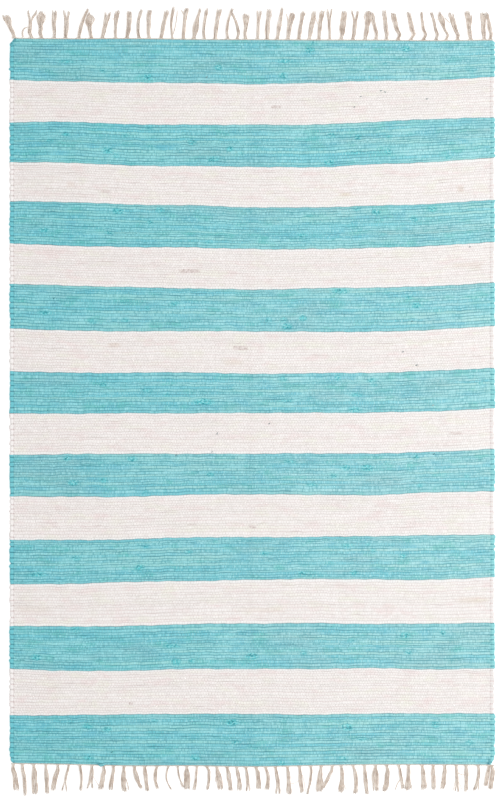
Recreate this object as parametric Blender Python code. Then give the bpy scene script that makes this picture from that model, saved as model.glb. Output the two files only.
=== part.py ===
"""Rag rug: one flat woven cloth in turquoise and white bands, with a knotted fringe at each end.

Metres, +Z up. The rug lies on its underside at z = 0, its length along Y and its width along X.
The far end is at +Y and the near end at -Y.
"""

import math
import random
from collections import namedtuple

import bmesh
import bpy
import numpy as np

MM = 0.001

# The cloth: each pick is one rag strip, and stands as a rib across the whole width.
HALF_WIDTH = 0.600
CREST = 0.0060  # height of a rib
GROOVE = 0.0042  # height of the cloth between two ribs
CREST_VARIES = 0.0005  # some rag strips are thicker than others
RIM = 0.010  # width of the selvedge
RIM_DROP = 0.0016  # the selvedge is lower than the cloth beside it
LOOP_REACH = 0.0010  # a rag turns round the edge every second pick
TURQUOISE_REACH = 0.0015  # turquoise bands are a little wider than white ones
STATIONS = (-0.600, -0.300, 0.000, 0.300, 0.600)  # places across where the bands were measured

# The fringe: a beige strip of twined warp along the cloth's end, with knotted locks of warp.
PARTING = 0.0003  # between the cloth's end and the strip
STRIP_WIDTH = 0.0042
STRIP_HEIGHT = 0.0036
STRIP_EDGE = 0.0024  # height of the strip's two long edges
STRIP_STEPS = 36
ROOT_LIFT = 0.0009  # a lock leaves the strip a little above the floor
TOP_SHARE = 0.65  # width of a lock's top against its foot
FORK_GAP = 0.0009  # between the two halves of a forked lock, at its root
FORK_SHARE = 0.6  # width of one half against the whole tassel, unless its tips stand too close
TIP_SHARE = 0.5  # widest that a half may be, against the distance between the two tips
FORK_OPENING = 1 / 3  # how much of its spread a fork has at half its length

# Each band's number of picks, then the line under it: its height in mm above the rug's middle, at
# the five stations from left to right. The weft sags across the far half of the rug.
Band = namedtuple("Band", "picks left left_middle middle right_middle right")
FAR_LINE = (897, 899, 898, 895, 896)
BANDS = (
    Band(16, 800, 793, 790, 797, 810),
    Band(16, 695, 688, 688, 695, 705),
    Band(16, 595, 586, 584, 590, 606),
    Band(16, 499, 489, 484, 486, 502),
    Band(15, 394, 385, 380, 384, 400),
    Band(16, 294, 284, 278, 283, 297),
    Band(15, 184, 177, 177, 177, 189),
    Band(17, 77, 72, 70, 73, 83),
    Band(15, -30, -27, -26, -25, -14),
    Band(16, -130, -128, -129, -127, -116),
    Band(15, -232, -233, -229, -229, -220),
    Band(17, -341, -340, -336, -333, -329),
    Band(16, -450, -446, -441, -438, -433),
    Band(17, -553, -554, -550, -550, -547),
    Band(17, -660, -665, -662, -658, -658),
    Band(17, -778, -775, -772, -772, -770),
    Band(20, -893, -898, -901, -896, -894),
)
LINES = np.array((FAR_LINE, *(band[1:] for band in BANDS))) * MM
LINE_PICKS = np.cumsum((0, *(band.picks for band in BANDS)))
PICKS = int(LINE_PICKS[-1])

# The cloth is drawn in at its corners: by so much at the very end, and over so much of its length.
Corner = namedtuple("Corner", "drawn_in over")
FAR_CORNERS = {-1: Corner(0.011, 0.012), 1: Corner(0.005, 0.025)}
NEAR_CORNERS = {-1: Corner(0.008, 0.032), 1: Corner(0.011, 0.037)}

# Each tassel in mm: where it leaves the strip, how far it has gone sideways at half its length and
# at its tip, its length and width, and the spread of its two tips where it forks.
Tassel = namedtuple("Tassel", "root bow tip length width fork")
FAR_TASSELS = (
    (-589, -9, -17, 54, 10, 0), (-568, 1, 2, 23, 4, 0), (-547, -3, 2, 66, 9, 18),
    (-522, -2, -1, 65, 15, 0), (-490, -1, 0, 66, 9, 11), (-462, 2, 2, 66, 9, 15),
    (-430, 6, 12, 69, 8, 0), (-398, -5, -4, 62, 14, 0), (-371, 7, 14, 62, 9, 11),
    (-338, 0, 6, 67, 9, 0), (-310, 7, 6, 64, 11, 0), (-278, -3, 4, 68, 8, 0),
    (-253, -3, -1, 67, 9, 0), (-226, 7, 15, 67, 9, 0), (-200, -1, 3, 75, 6, 0),
    (-192, 5, 10, 69, 3, 0), (-170, 2, 8, 73, 8, 12), (-144, 7, 14, 73, 12, 0),
    (-119, 1, 7, 73, 8, 0), (-91, 2, 12, 73, 10, 0), (-60, 0, 8, 73, 6, 0),
    (-37, -3, -7, 59, 5, 0), (-16, 1, 1, 60, 9, 0), (14, 2, 3, 68, 8, 9),
    (38, 1, 7, 71, 10, 0), (63, 6, 12, 76, 9, 0), (89, 5, 12, 64, 10, 12),
    (115, 5, 11, 68, 8, 0), (142, 6, 12, 68, 10, 0), (166, 3, 9, 70, 8, 9),
    (193, -2, -1, 72, 7, 10), (221, 4, 8, 68, 11, 0), (250, 5, 5, 70, 9, 15),
    (278, 4, 5, 69, 9, 0), (308, -6, -8, 65, 7, 0), (334, -3, -7, 70, 8, 0),
    (363, -5, -13, 64, 9, 0), (395, 0, -8, 66, 9, 0), (426, -2, -6, 67, 7, 0),
    (457, -1, -9, 67, 7, 0), (484, -7, -18, 67, 7, 0), (508, -9, -18, 65, 9, 10),
    (543, -5, -9, 69, 10, 10), (576, -2, -3, 65, 8, 0), (592, -2, -4, 64, 6, 0),
)
NEAR_TASSELS = (
    (-592, 4, 8, 64, 12, 0), (-569, 4, 7, 78, 9, 0), (-541, 2, 3, 72, 13, 0),
    (-511, 2, 3, 70, 9, 0), (-481, -6, -13, 63, 12, 0), (-454, -8, -11, 64, 6, 10),
    (-427, 4, 0, 61, 7, 0), (-397, -2, -4, 54, 9, 12), (-368, -2, -8, 57, 9, 0),
    (-343, -5, -10, 57, 9, 0), (-317, -2, 1, 58, 10, 10), (-293, 9, 17, 49, 10, 0),
    (-265, 3, 6, 55, 9, 6), (-235, -7, 0, 50, 7, 0), (-207, -3, 6, 53, 4, 0),
    (-184, 2, 4, 48, 4, 0), (-161, 0, 0, 54, 12, 0), (-136, -4, -7, 56, 6, 0),
    (-112, 5, 0, 55, 7, 0), (-87, 6, 10, 53, 12, 0), (-62, 7, 10, 55, 10, 0),
    (-38, 6, 7, 54, 10, 0), (-15, 4, 6, 55, 7, 6), (9, 7, 8, 50, 11, 0),
    (35, 3, 2, 52, 7, 6), (57, 7, 7, 63, 9, 6), (88, 3, 4, 65, 9, 0),
    (117, 4, 8, 63, 9, 0), (146, -2, -9, 66, 6, 0), (172, -3, -5, 62, 13, 0),
    (199, -8, -10, 42, 6, 0), (221, 3, -1, 62, 10, 0), (250, 9, 5, 68, 8, 0),
    (278, 3, 6, 71, 9, 0), (307, -1, 0, 61, 13, 0), (333, 1, -4, 61, 10, 0),
    (363, 6, 7, 57, 7, 0), (389, -1, -2, 58, 9, 0), (420, 7, 9, 57, 10, 0),
    (449, 0, 1, 58, 9, 0), (477, -1, -5, 55, 9, 0), (506, 3, 2, 61, 6, 15),
    (531, 1, 0, 62, 8, 0), (560, 0, -5, 58, 7, 11), (581, -4, -7, 48, 7, 0),
    (594, 1, 0, 53, 9, 0),
)

# A lock from its root inside the strip to its tip: share of its length, of its width, and height.
Section = namedtuple("Section", "along width height")
LOCK_SECTIONS = (
    Section(0.00, 0.55, 0.0018),
    Section(0.12, 0.70, 0.0040),
    Section(0.45, 1.00, 0.0042),
    Section(0.80, 1.00, 0.0032),
    Section(1.00, 0.75, 0.0016),
)


def principled(name, colour, roughness):
    """A cloth material of one colour; cotton has no metallic part."""
    material = bpy.data.materials.new(name)
    material.use_nodes = True
    shader = material.node_tree.nodes["Principled BSDF"]
    shader.inputs["Base Color"].default_value = (*colour, 1.0)
    shader.inputs["Roughness"].default_value = roughness
    shader.inputs["Metallic"].default_value = 0.0
    material.diffuse_color = (*colour, 1.0)
    return material


def band_line(pick, across):
    """Distance from the rug's middle of the line that lies this many picks from the far end."""
    heights = [np.interp(across, STATIONS, line) for line in LINES]
    return float(np.interp(pick, LINE_PICKS, heights))


def band_at(pick):
    """Number of the band that holds this pick; even bands are turquoise."""
    return min(int(np.searchsorted(LINE_PICKS, pick, side="right")) - 1, len(BANDS) - 1)


def drawn_in(corner, distance):
    """How far the edge is pulled towards the middle at this distance from the end."""
    return corner.drawn_in * max(0.0, 1 - distance / corner.over) ** 2


def edge_reach(pick, side):
    """Half the cloth's width at this pick: its loops, the wider turquoise and the drawn-in corners."""
    loop = LOOP_REACH * math.cos(math.pi * (pick + (side < 0)))
    wider = TURQUOISE_REACH if band_at(pick) % 2 == 0 else 0.0
    height = band_line(pick, side * HALF_WIDTH)
    far = drawn_in(FAR_CORNERS[side], band_line(0, side * HALF_WIDTH) - height)
    near = drawn_in(NEAR_CORNERS[side], height - band_line(PICKS, side * HALF_WIDTH))
    return HALF_WIDTH + loop + wider - far - near


def extruded(mesh, faces):
    """Extrude the faces in place, and give the new points, which are then moved."""
    made = bmesh.ops.extrude_face_region(mesh, geom=faces)["geom"]
    return [item for item in made if isinstance(item, bmesh.types.BMVert)]


def close_below(mesh):
    """Extrude an open top surface down to a flat underside on the floor."""
    for vert in extruded(mesh, mesh.faces[:]):
        vert.co.z = 0.0
    bmesh.ops.recalc_face_normals(mesh, faces=mesh.faces)


def finish_object(mesh, name, materials, collection, parent):
    """Turn a bmesh into an object of the rug."""
    data = bpy.data.meshes.new(name)
    mesh.to_mesh(data)
    mesh.free()
    for material in materials:
        data.materials.append(material)
    piece = bpy.data.objects.new(name, data)
    collection.objects.link(piece)
    piece.parent = parent
    return piece


def woven_cloth(materials, collection, parent):
    """The cloth: a grid with a row on each rib and in each groove, closed by a flat underside."""
    inner = (HALF_WIDTH - RIM) / HALF_WIDTH
    columns = (-1.0, -inner, -0.5, 0.0, 0.5, inner, 1.0)
    last_column = len(columns) - 1
    rows = 2 * PICKS
    thickness = random.Random(5)
    crests = [CREST + thickness.uniform(-CREST_VARIES, CREST_VARIES) for _ in range(PICKS)]

    mesh = bmesh.new()
    pick_of = mesh.verts.layers.float.new("pick")
    bmesh.ops.create_grid(mesh, x_segments=last_column, y_segments=rows, size=0.5)
    for vert in mesh.verts:
        column = round((vert.co.x + 0.5) * last_column)
        row = round((0.5 - vert.co.y) * rows)
        pick = row / 2
        share = columns[column]
        across = share * edge_reach(pick, -1 if share < 0 else 1)
        height = crests[row // 2] if row % 2 else GROOVE
        if column in (0, last_column):
            height -= RIM_DROP
        vert.co = (across, band_line(pick, share * HALF_WIDTH), height)
        vert[pick_of] = pick
    close_below(mesh)
    for face in mesh.faces:
        middle_pick = sum(vert[pick_of] for vert in face.verts) / len(face.verts)
        face.material_index = band_at(middle_pick) % 2
    return finish_object(mesh, "woven_rag_cloth", materials, collection, parent)


def strip_line(end, across):
    """The strip's edge next to the cloth: it follows the cloth's end, a small gap away."""
    return band_line(0 if end > 0 else PICKS, across) + end * PARTING


def twined_strip(name, end, tassels, material, collection, parent):
    """The strip that holds the locks: bent along the cloth's end, higher along its middle."""
    heights = (STRIP_EDGE, STRIP_HEIGHT, STRIP_HEIGHT, STRIP_EDGE)
    lines = len(heights) - 1
    first = (tassels[0].root - tassels[0].width / 2) * MM
    last = (tassels[-1].root + tassels[-1].width / 2) * MM
    mesh = bmesh.new()
    bmesh.ops.create_grid(mesh, x_segments=STRIP_STEPS, y_segments=lines, size=0.5)
    for vert in mesh.verts:
        across = first + (vert.co.x + 0.5) * (last - first)
        line = round((vert.co.y + 0.5) * lines)
        outward = end * STRIP_WIDTH * line / lines
        vert.co = (across, strip_line(end, across) + outward, heights[line])
    close_below(mesh)
    return finish_object(mesh, name, [material], collection, parent)


def add_lock(mesh, end, root, bow, tip, length, width):
    """One lock: a ribbon on the tassel's curve, extruded up to a narrower top, four-sided all along."""
    side_of = mesh.verts.layers.float["side"]
    height_of = mesh.verts.layers.float["height"]
    last = len(LOCK_SECTIONS) - 1
    strip_outside = strip_line(end, root) + end * STRIP_WIDTH
    foot = bmesh.ops.create_grid(mesh, x_segments=1, y_segments=last, size=0.5)["verts"]
    faces = {face for vert in foot for face in vert.link_faces}
    for vert in foot:
        station = round((vert.co.y + 0.5) * last)
        section = LOCK_SECTIONS[station]
        vert[side_of] = math.copysign(width * section.width / 2, vert.co.x)
        vert[height_of] = section.height
        # A parabola through the root, the bow at half the length, and the tip.
        middle = root + (4 * bow - tip) * section.along + 2 * (tip - 2 * bow) * section.along**2
        outward = length * section.along if station else -STRIP_WIDTH / 2
        lift = 0.0 if station else ROOT_LIFT
        vert.co = (middle + vert[side_of], strip_outside + end * outward, lift)
    for vert in extruded(mesh, list(faces)):
        vert.co.x -= vert[side_of] * (1 - TOP_SHARE)
        vert.co.z += vert[height_of]


def warp_locks(name, end, tassels, material, collection, parent):
    """All locks of one end in one mesh; a forked tassel is two locks side by side."""
    mesh = bmesh.new()
    mesh.verts.layers.float.new("side")
    mesh.verts.layers.float.new("height")
    for tassel in tassels:
        root, bow, tip, length, width, fork = (value * MM for value in tassel)
        if not tassel.fork:
            add_lock(mesh, end, root, bow, tip, length, width)
            continue
        half_width = min(FORK_SHARE * width, TIP_SHARE * fork)
        root_width = LOCK_SECTIONS[0].width * half_width
        for side in (-1, 1):
            beside = side * (root_width + FORK_GAP) / 2
            spread = side * fork / 2 - beside
            half_bow = bow + spread * FORK_OPENING
            add_lock(mesh, end, root + beside, half_bow, tip + spread, length, half_width)
    bmesh.ops.recalc_face_normals(mesh, faces=mesh.faces)
    return finish_object(mesh, name, [material], collection, parent)


def fringe(name, end, rows, material, collection, helpers, parent):
    """One end's fringe: its strip, with the roots of its locks fused into it."""
    tassels = [Tassel(*row) for row in rows]
    strip = twined_strip(name, end, tassels, material, collection, parent)
    locks = warp_locks(name + "_locks", end, tassels, material, helpers, parent)
    locks.hide_render = True
    locks.display_type = "WIRE"
    union = strip.modifiers.new("locks", "BOOLEAN")
    union.operation = "UNION"
    union.solver = "EXACT"
    union.object = locks
    return strip


def centre_over_origin(parent):
    """Move the whole rug so that the middle of its outline, fringe included, is over the origin."""
    corners = np.array(
        [tuple(vert.co)[:2] for piece in parent.children for vert in piece.data.vertices]
    )
    middle = (corners.min(axis=0) + corners.max(axis=0)) / 2
    parent.location = (-middle[0], -middle[1], 0.0)


def main():
    for old in list(bpy.data.objects):
        bpy.data.objects.remove(old, do_unlink=True)
    pieces = bpy.data.collections.new("rag_rug")
    helpers = bpy.data.collections.new("rag_rug_locks")
    helpers.hide_render = True
    for collection in (pieces, helpers):
        bpy.context.scene.collection.children.link(collection)

    middle = bpy.data.objects.new("rag_rug_middle", None)
    pieces.objects.link(middle)
    turquoise = principled("turquoise rag", (0.235, 0.565, 0.616), 0.9)
    white = principled("white rag", (0.86, 0.81, 0.79), 0.9)
    warp = principled("beige cotton warp", (0.62, 0.53, 0.45), 0.9)
    woven_cloth((turquoise, white), pieces, middle)
    fringe("fringe_far_end", 1, FAR_TASSELS, warp, pieces, helpers, middle)
    fringe("fringe_near_end", -1, NEAR_TASSELS, warp, pieces, helpers, middle)
    centre_over_origin(middle)


main()
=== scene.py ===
import bpy
import numpy as np
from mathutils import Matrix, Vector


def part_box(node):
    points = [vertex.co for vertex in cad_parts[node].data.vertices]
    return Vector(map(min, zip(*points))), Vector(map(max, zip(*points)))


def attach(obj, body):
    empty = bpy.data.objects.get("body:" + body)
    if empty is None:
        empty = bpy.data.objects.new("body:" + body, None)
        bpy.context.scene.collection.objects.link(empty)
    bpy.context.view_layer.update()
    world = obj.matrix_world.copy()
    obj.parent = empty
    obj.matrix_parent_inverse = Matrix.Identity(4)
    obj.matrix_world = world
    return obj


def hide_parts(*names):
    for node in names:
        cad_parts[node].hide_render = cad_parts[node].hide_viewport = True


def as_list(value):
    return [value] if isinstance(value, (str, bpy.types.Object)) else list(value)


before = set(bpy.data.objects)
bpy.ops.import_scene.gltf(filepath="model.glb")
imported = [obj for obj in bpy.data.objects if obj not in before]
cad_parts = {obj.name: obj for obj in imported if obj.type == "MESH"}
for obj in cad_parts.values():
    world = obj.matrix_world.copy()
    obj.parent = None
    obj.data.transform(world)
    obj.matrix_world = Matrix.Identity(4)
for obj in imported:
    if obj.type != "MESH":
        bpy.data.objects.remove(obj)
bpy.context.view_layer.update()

mm = 0.001
bpy.context.scene.view_settings.view_transform = "Standard"


def say(stage):
    print("rag rug:", stage)


def fromScreen(colour):
    # a colour as a screen shows it, 0 to 255, as the linear light that a shader takes
    channels = np.array(colour) / 255
    linear = np.where(channels <= 0.04045, channels / 12.92, ((channels + 0.055) / 1.055) ** 2.4)
    return (*linear.tolist(), 1.0)


def shadesOf(look):
    return {name: fromScreen(colour) for name, colour in look["colours"].items()}


def newObject(name, data):
    made = bpy.data.objects.new(name, data)
    bpy.context.scene.collection.objects.link(made)
    return made


def smooth(low, high, value):
    # the smooth step 3s^2 - 2s^3, where s goes from 0 at low to 1 at high
    share = np.clip((value - low) / (high - low), 0, 1)
    return share * share * (3 - 2 * share)


cotton = {"Roughness": 0.92, "Specular IOR Level": 0.15, "Sheen Weight": 0.1, "Sheen Roughness": 0.6}


class Signal:
    # an output in a material's node tree, on which sums and products can be written out
    def __init__(self, wire, socket):
        self.wire, self.socket = wire, socket

    def __add__(self, other):
        return self.wire.math("ADD", self, other)

    def __sub__(self, other):
        return self.wire.math("SUBTRACT", self, other)

    def __rsub__(self, other):
        return self.wire.math("SUBTRACT", other, self)

    def __mul__(self, other):
        return self.wire.math("MULTIPLY", self, other)

    def __mod__(self, other):
        return self.wire.math("FLOORED_MODULO", self, other)

    def __abs__(self):
        return self.wire.math("ABSOLUTE", self)


class Wiring:
    # a material's node tree, with short ways to add the nodes that these finishes use
    def __init__(self, name):
        self.material = bpy.data.materials.new(name)
        self.material.use_nodes = True
        self.tree = self.material.node_tree
        self.shader = self.tree.nodes["Principled BSDF"]

    def plug(self, node, inputs):
        for name, value in inputs.items():
            if isinstance(value, Signal):
                self.tree.links.new(value.socket, node.inputs[name])
            else:
                node.inputs[name].default_value = value

    def add(self, kind, inputs, out=0, **settings):
        # a new node of this kind, given as the signal of one of its outputs
        node = self.tree.nodes.new("ShaderNode" + kind)
        for setting, value in settings.items():
            setattr(node, setting, value)
        self.plug(node, inputs)
        return Signal(self, node.outputs[out])

    def math(self, operation, *values):
        return self.add("Math", dict(enumerate(values)), operation=operation)

    def ramp(self, value, start, full, least=0.0, most=1.0):
        # a smooth step from least, where the value is at start, to most, where it is at full
        steps = (start, full, least, most) if start < full else (full, start, most, least)
        return self.add("MapRange", dict(enumerate((value, *steps))), interpolation_type="SMOOTHSTEP")

    def mix(self, share, first, second, blend="MIX"):
        return self.add("Mix", {0: share, 6: first, 7: second}, 2, data_type="RGBA", blend_type=blend)

    def lay(self, colour, over, value, start, full, most=1.0):
        # a second colour over the first, as far as a smooth step of the value says
        return self.mix(self.ramp(value, start, full, 0.0, most), colour, over)

    def noise(self, place, scale, detail):
        return self.add("TexNoise", {"Vector": place, "Scale": scale, "Detail": detail}, "Fac")

    def stretched(self, u, v, across, along, layer, detail):
        # noise on the cloth's own map: so many cells in a metre across, so many in a pick
        return self.noise(self.add("CombineXYZ", {0: u * across, 1: v * along, 2: layer}), 1.0, detail)

    def uv(self):
        source = self.add("UVMap", {}, uv_map="weave")
        return [self.add("SeparateXYZ", {0: source}, axis) for axis in (0, 1)]

    def attribute(self, name):
        return self.add("Attribute", {}, "Fac", attribute_name=name)

    def finish(self, colour, height, relief):
        # all the cotton is matt, with a little sheen, and takes its relief from the height
        bump = self.add("Bump", {"Height": height, **relief})
        self.plug(self.shader, {"Base Color": colour, "Normal": bump, **cotton})
        return self.material


# The drawing has its middle half-way between the selvedges. The frame centres the whole outline,
# fringe included, so every point of the drawing moves by this shift.
drawn = {
    "halfWidth": 0.600,
    "farEnd": 0.899,
    "nearEnd": -0.901,
}
clothLow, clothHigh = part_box("woven_rag_cloth")
shift = (
    (clothLow.x + clothHigh.x) / 2,
    (clothLow.y + clothHigh.y) / 2 - (drawn["farEnd"] + drawn["nearEnd"]) / 2,
    0.0,
)

studio = {
    "frameHeight": 1.9832,  # what the tall side of the picture covers at the cloth
    "aimX": 0.0, "aimY": 0.0056,  # the picture's middle on the drawing
    "lens": 85.0, "sensor": 36.0,
    "clothTop": 0.005,
    "floorSize": 60.0, "floorDrop": 0.0002,
    "floorLook": {"Base Color": (0.95, 0.95, 0.95, 1), "Roughness": 0.9,
                  "Emission Color": (1, 1, 1, 1), "Emission Strength": 0.35},
    "dome": 0.688,
    "lampPower": 138.0, "lampSize": 2.6, "lampAt": (3.4, 0.1, 3.9),
}


def makeCamera():
    camera = bpy.data.cameras.new("camera")
    camera.lens = studio["lens"]
    camera.sensor_width = studio["sensor"]
    distance = studio["frameHeight"] * studio["lens"] / studio["sensor"]
    holder = newObject("camera", camera)
    holder.location = (shift[0] + studio["aimX"], shift[1] + studio["aimY"], studio["clothTop"] + distance)
    bpy.context.scene.camera = holder


def makeFloor():
    half = studio["floorSize"] / 2
    down = -studio["floorDrop"]
    data = bpy.data.meshes.new("floor")
    data.from_pydata([(-half, -half, down), (half, -half, down), (half, half, down), (-half, half, down)],
                     [], [(0, 1, 2, 3)])
    floor = newObject("floor", data)
    wire = Wiring("pale floor")
    wire.plug(wire.shader, studio["floorLook"])
    data.materials.append(wire.material)
    return floor


def makeLight():
    # an even dome, and one large soft lamp to the right, where the rug is a little brighter
    world = bpy.data.worlds.new("soft dome")
    world.use_nodes = True
    sky = world.node_tree.nodes["Background"]
    sky.inputs["Color"].default_value = (1, 1, 1, 1)
    sky.inputs["Strength"].default_value = studio["dome"]
    bpy.context.scene.world = world
    lamp = bpy.data.lights.new("soft lamp", "AREA")
    lamp.energy = studio["lampPower"]
    lamp.size = studio["lampSize"]
    holder = newObject("soft lamp", lamp)
    holder.location = studio["lampAt"]
    holder.rotation_mode = "QUATERNION"
    holder.rotation_quaternion = holder.location.to_track_quat("Z", "Y")


makeCamera()
floor = makeFloor()
makeLight()
say("camera, floor and light")

# For each band: its picks, then the line under it, in mm above the rug's middle, at the stations
# from the left edge to the right edge. The first row is the line of the cloth's far end.
stations = np.array((-600, -450, -300, -150, 0, 150, 300, 450, 600)) * mm
farLine = (901.5, 900, 900.6, 898.6, 898, 897, 896.6, 895.4, 897)
bands = (
    (16, 799, 796, 793, 792, 789, 792, 797, 799, 807),
    (16, 694, 695, 689, 688, 688, 688, 695, 702, 706),
    (16, 595, 594, 587, 586, 584, 583, 590, 596, 607),
    (15, 498, 496, 490, 488, 483, 483, 487, 492, 502),
    (17, 394, 388, 385, 384, 380, 380, 383, 388, 398),
    (16, 293, 289, 285, 282, 279, 282, 284, 288, 297),
    (16, 183, 178, 176, 177, 176, 175, 175, 180, 190),
    (16, 77, 73, 73, 74, 70, 72, 73, 78, 85),
    (15, -28, -28, -27, -27, -26, -26, -25, -22, -15),
    (15, -131, -129, -128, -128, -128, -127, -127, -123, -116),
    (16, -233, -234, -234, -229, -228, -229, -230, -223, -221),
    (16, -341, -342, -340, -335, -335, -334, -332, -330, -328),
    (17, -451, -450, -445, -443, -440, -438, -439, -440, -433),
    (15, -555, -556, -555, -550, -549, -548, -550, -549, -547),
    (17, -660, -666, -665, -661, -661, -661, -659, -662, -660),
    (17, -777, -776, -774, -773, -773, -775, -772, -772, -772),
    (19, -894, -896.5, -900, -899.7, -902.2, -899.3, -897, -897, -898),
)
lineHeights = np.array((farLine, *(band[1:] for band in bands))) * mm
linePicks = np.cumsum((0, *(band[0] for band in bands)))
allPicks = int(linePicks[-1])

# Places on the turquoise bands where a rag strip is bunched or joined: x and y, length, strength
# in tenths.
bunches = (
    (-461, 845, 45, 6), (-369, 822, 17, 6), (-258, 805, 20, 8), (-84, 830, 17, 7),
    (144, 874, 17, 10), (82, 845, 40, 6), (77, 810, 17, 8), (382, 877, 17, 9),
    (-461, 664, 15, 7), (-501, 649, 22, 6), (-359, 624, 22, 10), (-149, 644, 15, 9),
    (-55, 629, 10, 9), (-97, 602, 30, 7), (196, 661, 15, 7), (263, 656, 10, 9),
    (337, 622, 12, 7), (255, 619, 69, 5), (191, 594, 22, 9), (486, 607, 22, 6),
    (-516, 426, 20, 10), (-332, 473, 20, 10), (-228, 478, 20, 7), (-253, 446, 12, 7),
    (124, 413, 20, 8), (260, 480, 20, 6), (307, 470, 15, 9), (404, 453, 10, 7),
    (446, 480, 20, 7), (-109, 396, 25, 5), (-513, 222, 35, 6), (-191, 245, 25, 6),
    (79, 203, 12, 7), (87, 188, 20, 9), (126, 208, 15, 9), (218, 275, 45, 8),
    (387, 260, 17, 6), (407, 240, 17, 8), (-369, 44, 15, 7), (-263, 29, 25, 6),
    (-121, 2, 50, 9), (77, 59, 22, 6), (297, 54, 22, 6), (213, 61, 10, 7),
    (258, 19, 35, 6), (255, -18, 35, 7), (84, 4, 55, 5), (-459, -139, 12, 8),
    (-297, -142, 20, 8), (-104, -179, 20, 7), (-444, -199, 22, 9), (-367, -194, 15, 7),
    (94, -147, 30, 6), (231, -162, 25, 7), (285, -162, 22, 9), (149, -204, 35, 6),
    (407, -137, 10, 8), (-436, -387, 27, 6), (-531, -427, 45, 7), (-278, -410, 20, 8),
    (32, -375, 25, 6), (236, -355, 35, 6), (374, -382, 12, 7), (253, -422, 12, 9),
    (124, -425, 17, 7), (-439, -563, 22, 6), (-535, -633, 22, 9), (-203, -603, 35, 6),
    (-188, -643, 17, 10), (-149, -640, 12, 7), (0, -630, 22, 10), (379, -578, 22, 8),
    (473, -571, 10, 7), (387, -620, 17, 6), (-407, -804, 25, 7), (-359, -811, 17, 8),
    (-407, -881, 25, 7), (-141, -881, 20, 8), (-50, -794, 22, 10), (-40, -843, 20, 6),
    (236, -806, 22, 9), (273, -834, 25, 6), (226, -883, 25, 6), (454, -799, 17, 8),
    (540, -843, 25, 6), (74, -896, 15, 7),
)
# Places on the white bands where a rag has another colour: x and y, length, how many picks high,
# how grey and how beige.
marks = (
    (-543, -513, 87, 2.0, 0, 0.4), (22, -519, 120, 1.0, 0, 0.45), (545, -492, 74, 1.6, 0, 0.7),
    (530, 342, 70, 1.5, 0, 0.55), (560, 336, 16, 1.5, 0, 0.5), (232, 515, 27, 1.0, 0, 0.8),
    (517, 528, 15, 1.5, 0.4, 1.0), (-342, 143, 30, 1.2, 0.4, 0.8), (-155, 325, 53, 1.1, 1.0, 0),
    (-29, 135, 37, 1.0, 1.0, 0), (-47, 101, 48, 1.6, 0, 0.6), (505, -74, 31, 0.8, 0.75, 0.2),
    (2, -311, 20, 0.8, 0.8, 0), (59, 732, 25, 0.8, 0.9, 0), (-363, 521, 25, 0.8, 0.9, 0),
    (-449, 539, 20, 1.5, 0.2, 0.5), (-112, 768, 62, 1.5, 0, 0.25), (-347, 770, 70, 1.2, 0, 0.2),
    (-300, -748, 12, 0.7, 0.8, 0), (409, 92, 10, 0.7, 0.5, 0), (-148, -306, 27, 0.8, 0.5, 0),
)
# How faded each turquoise band is, from 0 to 1.
fading = (0.5, 0, 0.15, 0.6, 0.6, 1.0, 0.75, 0.5, 0.2)
# Places on the cloth's ends where a rag bulges out: end, x, half its width, how far.
endBulges = ((-1, -0.374, 0.0058, 0.0058),)
weave = {
    # height of a rib and of the groove between two, places in a pick that have a row of the mesh,
    # and how many of the mesh's columns are used
    "top": {"crest": 0.0060, "groove": 0.0042, "parts": (0, 0.17, 0.5, 0.83, 1.0), "every": 1},
    "back": {"crest": 0.0, "groove": 0.0010, "parts": (0, 0.5, 1.0), "every": 2},
    "column": 0.0060,  # spacing of the mesh across the cloth
    "rim": 0.012,  # the part at each edge with a finer mesh
    "uneven": 0.25,  # how much the picks of one band differ in size
    # how far a band's edge strays from its line, a groove from its straight way, and a crest from
    # its height, each with the lengths of its waves
    "drift": 0.0007, "driftWaves": (0.19, 0.075, 0.040),
    "wander": 0.00045, "wanderWaves": (0.120, 0.061, 0.033, 0.020), "wanderAtLine": 0.4,
    "lift": 0.00030, "liftWaves": (0.047, 0.026, 0.018),
    "stretch": (0.8, 1.25),  # by what factors the lengths of these waves vary
    "ribPower": 0.62,  # a rib is the sine of its pick to this power
    "bunchSpread": 1.1,  # how many picks a bunch reaches to each side
    "bunchEnds": 0.004,  # how far it fades out past its length
    "bunchRise": 0.0010, "crumple": (-0.4, 1.0),  # a bunch's highest place, and by what shares it varies
    "bunchBend": 0.0020,  # pushes the grooves beside a bunch apart
    # on each turquoise band, besides the bunches listed
    "smallBunches": 7, "smallReach": 0.58, "smallLengths": (0.010, 0.026), "smallStrengths": (0.3, 0.6),
    # creases are drawn only as painted shade, in and beside their grooves
    "creases": 340, "creaseReach": 0.59, "creaseLengths": (0.006, 0.028), "creaseDepths": (0.45, 1.0),
    "creaseWidth": 0.2,  # in picks, to each side of a groove
    "loopIn": 0.0015,  # depth of the notch between two rag loops at the edge
    "loopMean": 0.75,  # about what the curve of a loop is on average
    "pullFrom": 0.545,  # outside it the edge's reach is taken up
    "ragged": 0.0009,  # how much the loops differ in reach
    "reach": {(-1, True): 0.0011, (1, True): 0.0024, (-1, False): 0.0009, (1, False): 0.0006},
    "edgeRound": 0.0045,
    "loopFrom": 0.011, "loopTo": 0.006,  # from here to there, inside the edge, ribs become loops
}
corners = {  # by end and side: drawn in by so much at the very end, over so much of the length
    ("far", -1): (0.0118, 0.020), ("far", 1): (0.003, 0.015),
    ("near", -1): (0.0070, 0.018), ("near", 1): (0.0098, 0.031),
}
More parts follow.
